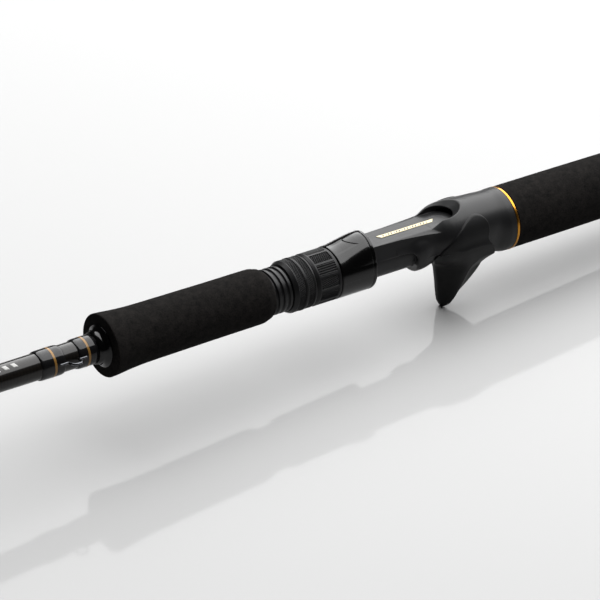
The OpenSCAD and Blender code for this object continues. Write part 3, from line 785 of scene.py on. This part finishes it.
scoop_front = curve_through(
    [(-36, 28.2), (-30, 25.6), (-22.4, 23.6), (-17.2, 22.4), (-12.7, 21.2), (-10, 19.0), (0, 17.0)]
)
blade_rear = curve_through(
    [(-36, 26.5), (-33.2, 26.0), (-30, 23.4), (-24.1, 17.0), (-16, 11.2), (-11, 10.2), (0, 12.0)]
)
print("the blade hangs", round(-float(blade[:, 1].min()), 1), "mm under the rod's axis")

# %% [markdown]
# The shell lies 0.7 mm thick over the seat's own body. The blade thins towards its front edge
# and in the hollow behind, and the two blend over a few millimetres.

# %% Trigger
SHELL = 0.7


def trigger_field(x, y, z):
    s = x - SEAT
    ahead = front_edge(z) - s
    behind = np.clip((scoop_front(z) - s) / (scoop_front(z) - blade_rear(z)), 0, 1)
    hollow = np.clip((-8.0 - z) / 8.0, 0, 1) * behind ** 0.7
    width = smooth_min(half_width(z), 1.05 * ahead + 0.7, 3.0) * (1 - 0.5 * hollow)
    finger = smooth_max(outline_distance(blade, s, z), (np.abs(y) - width) * 0.8, 0.7)
    body = body_field(s, y, z)
    shell = smooth_max(body - SHELL, outline_distance(leaf, s, z), 0.5)
    return np.maximum(smooth_min(shell, finger, 4.5), -(body + 0.5))


low, high = (SEAT + 5, -16, -36), (SEAT + 43, 16, 14)
skin("trigger", trigger_field, low, high, 0.24, trigger_plastic, "handle", "trigger")

# %% [markdown]
# A strip of pale gold foil is let into the deck. Plain slanted hatching in dark ink runs along
# it, denser where a maker would print a name.

# %% Deck inlay
INLAY_LENGTH = 30.0
INLAY_SLANT = 1.6
inlay_x = LIP + 8.4
inlay_end = inlay_x + INLAY_LENGTH
corners = [[inlay_x, -1], [inlay_end, -1], [inlay_end - INLAY_SLANT, 1], [inlay_x + INLAY_SLANT, 1]]
verts = [[x, y, z] for z in (DECK_Z - 0.3, DECK_Z + 0.03) for x, y in corners]
sides = np.array([[i, (i + 1) % 4, 4 + (i + 1) % 4, 4 + i] for i in range(4)])
prism = np.vstack([[[3, 2, 1, 0], [4, 5, 6, 7]], sides])
piece("deck_inlay", verts, prism, inlay_plastic, "handle", "deck_inlay", flat=True)

# %% Hatching on the inlay
HATCH_PITCH = 1.42
HATCH_HALF = 0.62
HATCH_LEAN = 0.5
verts, faces = [], []
for k in range(17):
    x0 = inlay_x + 3.6 + HATCH_PITCH * k
    x1 = x0 + (0.62 if k % 3 else 0.34)
    faces.append(prism + len(verts))
    for z in (DECK_Z + 0.02, DECK_Z + 0.06):
        verts += [[x0, -HATCH_HALF, z], [x1, -HATCH_HALF, z]]
        verts += [[x1 + HATCH_LEAN, HATCH_HALF, z], [x0 + HATCH_LEAN, HATCH_HALF, z]]
faces = np.vstack(faces)
piece("inlay_hatching", verts, faces, dark_ink, "handle", None, flat=True)

# %% [markdown]
# ## Hood and nuts
# The hood slides back over the front of the reel's foot. It is polished, and the roof over the
# foot rises from the barrel in a crescent-shaped step.

# %% Hood
HOOD_R = 11.7
HOOD_BORE_R = 10.45
roof_lift = curve_through(
    [(-2, 3.0), (0, 3.05), (2.5, 3.05), (5, 2.75), (8, 2.1), (11, 1.4), (14, 0.65), (16.5, 0.15), (18.2, 0),
     (25, 0)]
)


def hood_field(x, y, z):
    s = x - HOOD
    r = np.sqrt(y * y + z * z)
    step = np.clip((s - 10.0 + 0.13 * (y + 1.0) ** 2) / 0.4, 0, 1)
    crescent = step * np.clip((3.7 - np.abs(y - 1.3)) / 1.0, 0, 1)
    lift = roof_lift(s) - 0.22 * crescent
    wide = np.sqrt(np.maximum(1 - (y / 10.6) ** 2, 0))
    roof = np.where(z > 0, r - (HOOD_R - 0.02 + lift * wide ** 1.5), 9.0)
    d = smooth_min(r - HOOD_R, roof * 0.92, 0.5)
    groove = np.clip(1 - np.abs(s - 1.7) / 0.35, 0, 1) * 0.28
    d = smooth_max(d + groove, np.maximum(0.0 - s, s - HOOD_LENGTH), 0.7)
    # the tunnel over the bore takes the reel's foot
    tunnel = np.maximum(np.maximum(r - (13.75 - 0.16 * s), np.abs(y) - 6.05), s - 11)
    tunnel = np.maximum(tunnel, 2.0 - z)
    return np.maximum(d, -np.minimum(r - HOOD_BORE_R, tunnel))


low, high = (HOOD - 0.4, -12.6, -12.6), (HOOD + HOOD_LENGTH + 0.6, 12.6, 16.2)
skin("hood", hood_field, low, high, 0.17, gloss_plastic, "hood", "hood")

# %% [markdown]
# The clamp nut has twelve raised panels, diamond-knurled and ribbed in turn, with plain lands
# between them. The locking ring in front of it has two diamond-knurled bands.

# %% Clamp nut
NUT_BORE_R = 10.2
PANELS = 12
KNURL_STEP = 0.1


def edge(v, low, high, soft):
    """One between low and high, and zero outside, with a soft step at each end."""
    return np.clip((v - low) / soft, 0, 1) * np.clip((high - v) / soft, 0, 1)


def knurl(x, a, pitch_x, count):
    """Height of a diamond knurl, from 0 in its grooves to 1 on its points."""
    u = x / pitch_x
    v = a / (2 * math.pi) * count
    one = np.abs(((u + v) % 1) - 0.5) * 2
    two = np.abs(((u - v) % 1) - 0.5) * 2
    return np.minimum(one, two)


def nut_shape(x, a, r):
    t = (a / (2 * math.pi) * PANELS) % PANELS
    panel = np.floor(t).astype(int)
    f = t - panel
    inside = edge(f, 0.07, 0.93, 0.04) * edge(x, NUT + 1.3, NUT + 10.7, 0.25)
    diamonds = knurl(x, a, 1.15, PANELS * 6) * 0.5
    ribs = (0.5 - 0.5 * np.cos(2 * math.pi * (f - 0.07) / 0.86 * 5)) * 0.5
    pattern = np.where(panel % 2 == 0, diamonds, ribs)
    return np.where(r > 11.2, r - inside * (0.5 - pattern), r)


outer = [[0, 10.9], [0, 11.5], [0.4, 11.6], [11.2, 11.6], [NUT_LENGTH, 11.0], [NUT_LENGTH, 10.6]]
outer = dense(rounded([[NUT + s, r] for s, r in outer], 0.3, 4), KNURL_STEP)
turned_piece(
    "clamp_nut", outer, lambda x: NUT_BORE_R, nut_plastic, "nut", "clamp_nut",
    1200, nut_shape,
)


# %% [markdown]
# The locking ring is turned against the nut. It has two knurled bands with a plain rib between
# them, and its front is chamfered.

# %% Locking ring
def ring_shape(x, a, r):
    s = x - LOCK
    band = edge(s, 0.9, 4.35, 0.2) + edge(s, 5.45, 9.1, 0.2)
    cut = band * (0.42 - 0.42 * knurl(x, a, 1.0, 78))
    return np.where(r > 11.0, r - cut, r)


outer = [[0, 10.9], [0, 11.3], [0.5, 11.5], [4.3, 11.5], [4.5, 11.62], [5.2, 11.62], [5.4, 11.5],
         [9.4, 11.5], [LOCK_LENGTH, 10.55], [LOCK_LENGTH, 10.3]]
outer = dense(rounded([[LOCK + s, r] for s, r in outer], 0.15, 3), KNURL_STEP)
turned_piece(
    "lock_ring", outer, lambda x: NUT_BORE_R, nut_plastic, "nut", "lock_ring",
    1248, ring_shape,
)

# %% [markdown]
# ## Fore grip and winding check
# The fore grip is turned foam that flares into a bell at its front, and is chamfered where it
# meets the thread. The check in front of it is a small polished funnel.

# %% Fore grip
bell = curve_through(
    [(128.6, 11.95), (131, 12.05), (145, 12.1), (165, 12.25), (181, 12.42), (187, 12.5), (192.4, 12.7),
     (198, 13.1), (203, 13.6), (206.5, 13.85)]
)
outer = [[SEAT + 124.25, 10.1], [SEAT + 125.6, 11.1]]
outer += [[SEAT + s, float(bell(s))] for s in np.linspace(128.6, 206.45, 60)]
outer += [[GRIP_FRONT, 9.0]]
outer = rounded(outer, [0, 1.0, 3.0] + [0] * 58 + [1.5, 0], 7)
turned_piece("fore_grip", outer, on_blank, foam, "handle", "fore_grip", 200)

# %% Winding check
outer = [[0.05, 9.2], [0.45, 9.3], [1.1, 8.2], [2.0, 7.3], [CHECK_END - GRIP_FRONT - 0.1, 6.8]]
outer = rounded([[GRIP_FRONT + s, r] for s, r in outer], [0, 0.3, 2.0, 3.0, 0], 6)
turned_piece("fore_check", outer, on_blank, gloss_plastic, "handle", "fore_check")

# %% [markdown]
# ## Trim wraps and hook keeper
# Two varnished wraps hold the feet of the hook keeper, a bent wire that a hook is hung on when
# the rod is carried. Each wrap has a band of gold thread.

# %% Trim wraps
WRAP_BUILD = 0.62
WRAP_RUNOUT = 2.2
BAND_HALF = 0.55


def wrap_outline(x0, x1, radius):
    """Outer line of a wrap over a blank of that radius. Its varnish runs out round at both ends."""
    out = []
    for x in np.linspace(x0, x1, 40):
        t0 = np.clip((x - x0) / WRAP_RUNOUT, 0, 1)
        t1 = np.clip((x1 - x) / WRAP_RUNOUT, 0, 1)
        lift = math.sqrt(1 - (1 - t0) ** 2) * math.sqrt(1 - (1 - t1) ** 2)
        out.append([x, float(radius(x)) + 0.05 + (WRAP_BUILD - 0.05) * lift])
    return out


def trim_wrap(name, band_name, x0, x1, band_x, body, radius):
    """A black thread wrap with a band of gold thread in it."""
    outer = wrap_outline(x0, x1, radius)
    turned_piece(name, outer, lambda x: float(radius(x)) + 0.02, black_thread, body, name, 120)
    band = [[x, r + 0.03] for x, r in dense(outer, 0.1) if abs(x - band_x) <= BAND_HALF]
    bore = lambda x: float(radius(x)) + WRAP_BUILD * 0.6
    turned_piece(band_name, band, bore, gold_thread, body, band_name, 120)


x0, x1 = CHECK_END, KEEPER - FOOT_GAP
trim_wrap("rear_trim_wrap", "rear_trim_band", x0, x1, x0 + 4.75, "handle", butt_r)
x0, x1 = FRONT_WRAP, HANDLE_END
trim_wrap("front_trim_wrap", "front_trim_band", x0, x1, x0 + 5.3, "handle", butt_r)

# %% [markdown]
# The keeper is one bent steel wire. Its feet run under the two wraps and its loop stands out
# from the side of the blank, just large enough to take a hook's point.

# %% Hook keeper
WIRE_R = 0.55
KEEPER_LEAN = math.radians(12)


def keeper_path():
    """Foot, leg, round top, leg and foot, in the plane of the loop: (along the rod, out of it)."""
    corners = [(-6.9, 0.1), (-2.5, 0.15), (-2.4, 2.7), (-1.4, 4.35)]
    corners += [(-u, v) for u, v in reversed(corners)]
    flat = dense(rounded(corners, [0, 0.9, 1.6, 1.4, 1.4, 1.6, 0.9, 0], 8), 0.15)
    out = butt_r(KEEPER) + WIRE_R - 0.1
    across, up = math.cos(KEEPER_LEAN), math.sin(KEEPER_LEAN)
    return [[KEEPER + u, (out + v) * across, (out + v) * up] for u, v in flat]


wire("hook_keeper", keeper_path(), WIRE_R, gunmetal, "handle", "hook_keeper")

# %% [markdown]
# ## Blank
# The butt section runs the whole length of the handle, inside the grips and the seat. It is a
# plain tapering tube with a chamfer where the tip section's socket slips on.

# %% Butt section
outer = [[BLANK_START, butt_r(BLANK_START)], [JOINT_X1 - 0.4, butt_r(JOINT_X1)]]
outer = dense(outer + [[JOINT_X1, butt_r(JOINT_X1) - 0.3]], 8)
bore = lambda x: butt_r(x) - TUBE_WALL
turned_piece("butt_blank", outer, bore, carbon, "handle", "butt_blank", 96)

# %% [markdown]
# A row of short slanted dashes stands where a maker would print a name along the blank.

# %% Marks on the blank
marks = []
for gap in (0, 4.2, 8.4, 13.6, 17.8, 22.0, 27.2, 31.4):
    start = HANDLE_END + 10.0 + gap
    marks.append((start, start + 2.2, math.radians(58), math.radians(82), 0.9))
patch("blank_marks", marks, butt_r, 0.03, mark_ink, "handle")

# %% [markdown]
# The tip section is the same carbon tube, drawn out to little more than two millimetres. Its
# socket takes the end of the butt section and is bound with thread, so that it can't split.

# %% Tip section
socket_end = JOINT_X1 + 5
profile = [[x, float(tip_r(x))] for x in np.linspace(JOINT_X0, ROD_LENGTH - 1, 110)]
profile[0] = [JOINT_X0, profile[0][1] - 0.3]
profile.insert(1, [JOINT_X0 + 0.35, float(tip_r(JOINT_X0))])
profile += [[ROD_LENGTH - 1, 0.0], [ROD_LENGTH - 32, 0.0]]
profile += [[socket_end, float(tip_r(socket_end)) - TUBE_WALL]]
profile += [[socket_end, on_blank(JOINT_X1)], [JOINT_X0, on_blank(JOINT_X0)]]
pole_piece("tip_blank", profile, carbon, "tip_section", "tip_blank")

# %% Socket wrap
x0, x1 = JOINT_X0 + 1, JOINT_X0 + 45
trim_wrap("ferrule_wrap", "ferrule_band", x0, x1, x0 + 5, "tip_section", tip_r)

# %% [markdown]
# ## Butt cap
# The cap is a moulded rubber cup over the end of the grip, with three grip grooves round it
# and a rounded rim that the rod stands on.

# %% Butt cap
outer = [[0.0, 0.0], [0.0, 11.0], [0.9, 13.6], [2.6, 15.1], [4.6, 15.5]]
for groove in (8.0, 11.0, 14.0):
    outer += [[groove - 0.75, 15.5], [groove - 0.35, 15.0], [groove + 0.35, 15.0], [groove + 0.75, 15.5]]
outer += [[19.5, 15.5], [CAP_LENGTH, 15.0], [CAP_LENGTH, 9.4], [8.0, 9.4], [8.0, 0.0]]
radii = [0, 1.5, 1.5, 1.2, 1.2] + [0.25] * 14 + [0, 0, 0]
pole_piece("butt_cap", rounded(outer, radii, 5), cap_rubber, "handle", "butt_cap", 160)

# %% [markdown]
# ## Guides
# Each guide is a stamped and plated frame that holds a polished ceramic ring. Two forked legs
# run down to a tapering foot, and thread and varnish bind the foot to the blank. The two
# guides of the butt section and the first of the tip section have a foot at each end.

# %% Guide parts
def ring_profile(x, ring_d):
    """Round-edged section of a ceramic ring."""
    outer, inner = ring_d / 2, ring_d * 0.33
    path = [[x, outer], [x - 1.0, outer], [x - 1.0, inner], [x + 1.0, inner], [x + 1.0, outer], [x, outer]]
    return rounded(path, [0, 0.3, 0.85, 0.85, 0.3, 0], 8)[:-1]


def hoop_distance(x, y, z, centre_x, centre_z, ring_d):
    r = np.sqrt(y * y + (z - centre_z) ** 2)
    across = np.abs(x - centre_x) - 0.55
    deep = np.abs(r - (ring_d / 2 + 0.45)) - 0.3
    outside = np.sqrt(np.maximum(across, 0) ** 2 + np.maximum(deep, 0) ** 2)
    return outside + np.minimum(np.maximum(across, deep), 0) - 0.13


def rod_distance(x, y, z, a, b, radius):
    """Distance to a round bar between two points."""
    a, b = np.array(a, float), np.array(b, float)
    e = b - a
    t = np.clip(((x - a[0]) * e[0] + (y - a[1]) * e[1] + (z - a[2]) * e[2]) / (e @ e), 0, 1)
    gap = (x - a[0] - t * e[0]) ** 2 + (y - a[1] - t * e[1]) ** 2 + (z - a[2] - t * e[2]) ** 2
    return np.sqrt(gap) - radius


def guide_field(x_ring, z_ring, ring_d, feet):
    top = ring_d / 2 + 0.45
    fork = math.radians(48)
    seat = float(blank_r(x_ring - 15.0)) + 0.05
    hold = max(0.5, min(0.72, ring_d * 0.07))

    def field(x, y, z):
        d = hoop_distance(x, y, z, x_ring, z_ring, ring_d)
        for way in feet:
            side = top * math.sin(fork)
            height = z_ring - top * math.cos(fork)
            high_end = (x_ring + way * 0.1, side, height)
            low_end = (x_ring + way * 3.2, 0.75, seat + 1.1)
            leg = rod_distance(x, np.abs(y), z, high_end, low_end, hold)
            u = way * (x - x_ring)
            half = 1.65 - 0.075 * np.maximum(u - 4, 0)
            rise = seat + 0.72 - 0.034 * np.maximum(u - 3, 0)
            foot = smooth_max(np.abs(y) - half, z - rise, 0.3)
            foot = smooth_max(foot, np.maximum(2.4 - u, u - 14.9), 0.4)
            d = smooth_min(d, smooth_min(leg, foot, 0.9), 0.45)
        return np.maximum(d, (blank_r(x) + 0.02) - np.sqrt(y * y + z * z))

    return field


def wrap_shape(x_ring, way):
    """The binding stands up over the foot and lies close to the blank elsewhere."""
    start, end = x_ring + way * 4.5, x_ring + way * 16.5
    seat = float(blank_r(x_ring - 15.0)) + 0.05

    def shape(x, a, r):
        u = way * (x - x_ring)
        skin_r = blank_r(x) + 0.02
        run = np.clip((u - 4.5) / 1.6, 0, 1) * np.clip((16.5 - u) / 1.2, 0, 1)
        close = blank_r(x) + 0.05 + 0.32 * np.sqrt(np.clip(run, 0, 1))
        over = np.maximum(seat + 1.0 - 0.034 * (u - 3) - close, 0) * np.clip((u - 4.1) / 1.0, 0, 1)
        over = over * (1 - 0.75 * np.clip((u - 14.6) / 1.4, 0, 1))
        half = 0.95 * 1.65 / seat + 0.25
        tent = np.clip(1 - (np.abs(a - math.pi / 2) / half) ** 2, 0, 1) ** 1.5
        outer = close + over * tent
        return np.where(r > 0.5, np.maximum(outer, skin_r + 0.02), skin_r)

    return min(start, end), max(start, end), shape


# %% [markdown]
# The eight guides are the same design in falling sizes, so one loop makes them all.

# %% Guides
for number, (share, ring_d, height, count) in enumerate(GUIDES, 1):
    name = f"guide_{number}"
    x_ring = GUIDE_X[number - 1]
    z_ring = float(blank_r(x_ring)) + height
    body = "handle" if number < 3 else "tip_section"
    feet = (-1, 1) if count == 2 else (-1,)
    verts, quads = spin(ring_profile(x_ring, ring_d), 96, None, z_ring)
    piece(f"{name}_ring", verts, quads, ceramic, body, f"{name}_ring")
    reach = 15.2
    low = (x_ring - reach, -ring_d / 2 - 1.3, 0.5)
    high = (x_ring + (reach if count == 2 else 1.6), ring_d / 2 + 1.3, z_ring + ring_d / 2 + 1.3)
    skin(
        f"{name}_frame", guide_field(x_ring, z_ring, ring_d, feet), low, high, 0.2, gunmetal, body,
        f"{name}_frame",
    )
    for way in feet:
        x0, x1, shape = wrap_shape(x_ring, way)
        xs = np.linspace(x0, x1, 60)
        section = np.vstack([[[x, 1.0] for x in xs], [[x1, 0.2], [x0, 0.2]]])
        side = "_front" if way > 0 else "_rear"
        node = f"{name}_wraps" if way < 0 else None
        verts, quads = spin(section, 96, shape)
        piece(f"{name}_wrap{side}", verts, quads[:, ::-1], black_thread, body, node)

# %% [markdown]
# The tip-top is a short tube over the end of the blank with the last and smallest ring on it.

# %% Tip top
TIP_RING_D = 6
ring_x, ring_z = ROD_LENGTH - 1, 5.4
tube_x0 = ROD_LENGTH - 12
tube_r = float(tip_r(tube_x0)) + 0.5


def tip_top_field(x, y, z):
    r = np.sqrt(y * y + z * z)
    ends = np.maximum(tube_x0 - x, x - ROD_LENGTH + FIT)
    tube = np.maximum(np.abs(r - tube_r + 0.2) - 0.22, ends)
    hoop = hoop_distance(x, y, z, ring_x, ring_z, TIP_RING_D)
    ramp = (tube_x0 + 4.5 - x) * 0.45 + (z - tube_r) * 0.8
    stem = np.maximum(np.abs(y) - 0.55, np.maximum(z - ring_z + 3.1, ramp))
    stem = np.maximum(stem, np.maximum(x - ROD_LENGTH + 0.4, tube_r - 0.3 - z))
    return smooth_min(smooth_min(tube, stem, 0.5), hoop, 0.4)


low, high = (tube_x0 - 0.5, -4.4, -2.4), (ROD_LENGTH + 0.3, 4.4, 9.6)
skin(
    "tip_top_frame", tip_top_field, low, high, 0.15, gunmetal, "tip_section", "tip_top_frame"
)
verts, quads = spin(ring_profile(ring_x, TIP_RING_D), 96, None, ring_z)
piece("tip_top_ring", verts, quads, ceramic, "tip_section", "tip_top_ring")

# %% [markdown]
# ## Hidden bushes
# Two graphite bushes centre the seat on the blank. Nothing of them shows, so they keep their
# plain shape and only get their finish.

# %% Arbors
for name in ("rear_arbor", "front_arbor"):
    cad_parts[name].data.materials.clear()
    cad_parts[name].data.materials.append(arbor_foam)
print("arbors have the", arbor_foam.name, "finish")

# %% [markdown]
# ## Setting
# The rod lies on a pale polished table under a wide overhead light, as in a catalogue. Only
# the light overhead is bright, which leaves the sides of the polished parts black.

# %% Table
TABLE_HALF = 4000.0
TRIGGER_TIP_X = SEAT + 28.4
TRIGGER_TIP_Z = -35.05
TABLE_SLOPE = -0.052


def rest_height(x):
    """The table passes under the trigger's tip and under the butt, so it isn't quite level here."""
    return TRIGGER_TIP_Z + (x - TRIGGER_TIP_X) * TABLE_SLOPE


middle = SEAT + 60
corners = [(middle - TABLE_HALF, -TABLE_HALF), (middle + TABLE_HALF, -TABLE_HALF)]
corners += [(middle + TABLE_HALF, TABLE_HALF), (middle - TABLE_HALF, TABLE_HALF)]
floor_mesh = bpy.data.meshes.new("table")
floor_mesh.from_pydata([(x * MM, y * MM, rest_height(x) * MM) for x, y in corners], [], [(0, 1, 2, 3)])
floor = bpy.data.objects.new("table", floor_mesh)
bpy.context.scene.collection.objects.link(floor)
table_top, *_ = new_material(
    "pale_polished_table", Base_Color=srgb("9f9f9f"), Roughness=0.07, IOR=1.18
)
floor_mesh.materials.append(table_top)
floor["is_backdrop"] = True
print("the table is", -TRIGGER_TIP_Z, "mm under the rod's axis at the trigger")

# %% [markdown]
# One large soft lamp hangs over the rod, a little behind it, and the room adds almost nothing.

# %% Lights
world = bpy.data.worlds.new("studio")
world.use_nodes = True
world.node_tree.nodes["Background"].inputs["Color"].default_value = (1, 1, 1, 1)
world.node_tree.nodes["Background"].inputs["Strength"].default_value = 0.02
bpy.context.scene.world = world
bpy.context.scene.view_settings.view_transform = "Standard"


def area_light(name, place, target, size_x, size_y, power):
    data = bpy.data.lights.new(name, "AREA")
    data.shape = "RECTANGLE"
    data.size = size_x
    data.size_y = size_y
    data.energy = power
    obj = bpy.data.objects.new(name, data)
    bpy.context.scene.collection.objects.link(obj)
    obj.location = place
    obj.rotation_euler = (Vector(target) - Vector(place)).to_track_quat("-Z", "Y").to_euler()
    obj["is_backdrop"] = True
    print(name, "lamp of", power, "W")
    return obj


area_light("overhead", (-0.35, -0.4, 1.3), (0.3, -0.1, 0), 2.8, 2.6, 130)

# %% [markdown]
# The camera has a long lens, and looks down on the handle from the front right. It is rolled a
# little, and its aim is set off from the seat so that the handle fills the view.

# %% Camera
DISTANCE = 2.4
AIM_LEFT = 20.65
AIM_DOWN = 14.3
beta, phi, gamma = (math.radians(v) for v in (31.0, 36.0, 2.8))
toward = Vector((math.sin(beta), math.cos(beta) * math.cos(phi), math.cos(beta) * math.sin(phi)))
up = Vector((math.sin(gamma), 0, math.cos(gamma)))
right = up.cross(toward).normalized()
above = toward.cross(right).normalized()
aim = Vector(((SEAT + 80) * MM, 0, 0)) - right * AIM_LEFT * MM - above * AIM_DOWN * MM
camera_data = bpy.data.cameras.new("camera")
camera_data.lens = 338.0
camera_data.sensor_width = 36.0
camera_data.clip_end = 50
camera = bpy.data.objects.new("camera", camera_data)
bpy.context.scene.collection.objects.link(camera)
camera.location = aim + toward * DISTANCE
matrix = camera.matrix_world.copy()
for i, axis in enumerate((right, above, toward)):
    for j in range(3):
        matrix[j][i] = axis[j]
for j in range(3):
    matrix[j][3] = camera.location[j]
camera.matrix_world = matrix
bpy.context.scene.camera = camera
print("the camera stands", DISTANCE, "m off with a lens of", camera_data.lens, "mm")

# %% [markdown]
# The box round everything that is shown is printed. The finished rod must keep the size
# of its plain model.

# %% Finish
low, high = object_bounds()
print("shown box", low, high)
